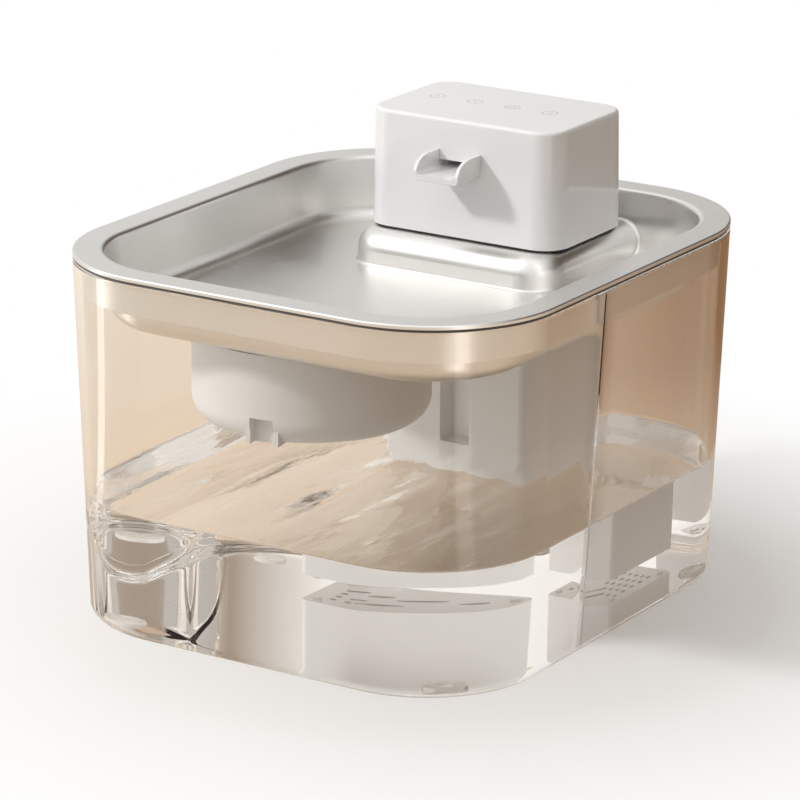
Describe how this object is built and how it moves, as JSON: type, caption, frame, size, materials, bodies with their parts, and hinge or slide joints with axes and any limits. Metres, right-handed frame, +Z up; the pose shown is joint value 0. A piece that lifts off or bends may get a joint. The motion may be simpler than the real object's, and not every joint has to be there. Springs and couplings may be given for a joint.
{
  "type": "pet water fountain",
  "caption": "Cordless pet drinking fountain: clear tank, lift-off pressed steel drinking tray, white pump unit with a pouring spout, and a filter box under the tray.",
  "frame": {"origin": "on the resting surface, under the middle of the tank's outline", "axes": "+Z up; the spout pours towards -Y; +X is to the right when the spout is seen from the front"},
  "size_m": [0.2, 0.225, 0.1793],
  "materials": {
    "tank": "clear moulded plastic, gloss",
    "silicone_clear": "translucent silicone",
    "steel": "satin",
    "gasket": "matt",
    "white_gloss": "gloss",
    "white_satin": "satin",
    "carbon": "granular",
    "cotton": "felt",
    "foam": "open foam",
    "screw": "plain",
    "board": "solder resist",
    "cell": "shrink wrap",
    "grey_plastic": "satin",
    "pump": "potted",
    "magnet": "ferrite",
    "tube": "gloss",
    "lead": "smooth"
  },
  "bodies": {
    "tank_base": {"tank": "tank", "tank_feet": "silicone_clear"},
    "tray": {"drinking_tray": "steel", "locating_ring": "steel", "rim_gasket": "gasket", "drain_strainer": "white_satin", "drain_seal": "silicone_clear", "drain_nut": "white_satin", "filter_collar": "white_satin"},
    "filter": {"filter_box": "white_satin", "cartridge_shell": "white_satin", "carbon_bed": "carbon", "cotton_pad": "cotton"},
    "pump_unit": {"unit_shell": "white_gloss", "unit_base": "white_satin", "unit_gasket": "gasket", "unit_screws": "screw", "spout": "white_gloss", "touch_board": "board", "touch_link": "lead", "control_board": "board", "battery_cells": "cell", "battery_cradle": "grey_plastic", "charge_port": "screw", "column_housing": "white_satin", "column_screws": "screw", "strainer_plate": "white_satin", "prefilter_foam": "foam", "volute_cover": "grey_plastic", "pump_body": "pump", "pump_dampers": "silicone_clear", "impeller_shaft": "screw", "riser_tube": "tube", "riser_seal": "gasket", "pump_lead": "lead"},
    "rotor": {"impeller": "white_satin", "rotor_magnet": "magnet"},
    "flap": {"port_flap": "silicone_clear"}
  },
  "joints": [
    {"name": "tray_lift", "type": "slide", "parent": "tank_base", "child": "tray", "axis": [0, 0, 1], "range_m": [0, 0.15]},
    {"name": "unit_lift", "type": "slide", "parent": "tray", "child": "pump_unit", "axis": [0, 0, 1], "range_m": [0, 0.13]},
    {"name": "filter_box_drop", "type": "slide", "parent": "tray", "child": "filter", "axis": [0, 0, -1], "range_m": [0, 0.035]},
    {"name": "impeller_spin", "type": "hinge", "parent": "pump_unit", "child": "rotor", "pos_m": [-0.0031, 0.071, 0.02], "axis": [0, 0, 1], "continuous": true},
    {"name": "port_flap_hinge", "type": "hinge", "parent": "pump_unit", "child": "flap", "pos_m": [-0.025, 0.09436, 0.1565], "axis": [-1, 0, 0], "range_deg": [0, 110]}
  ]
}
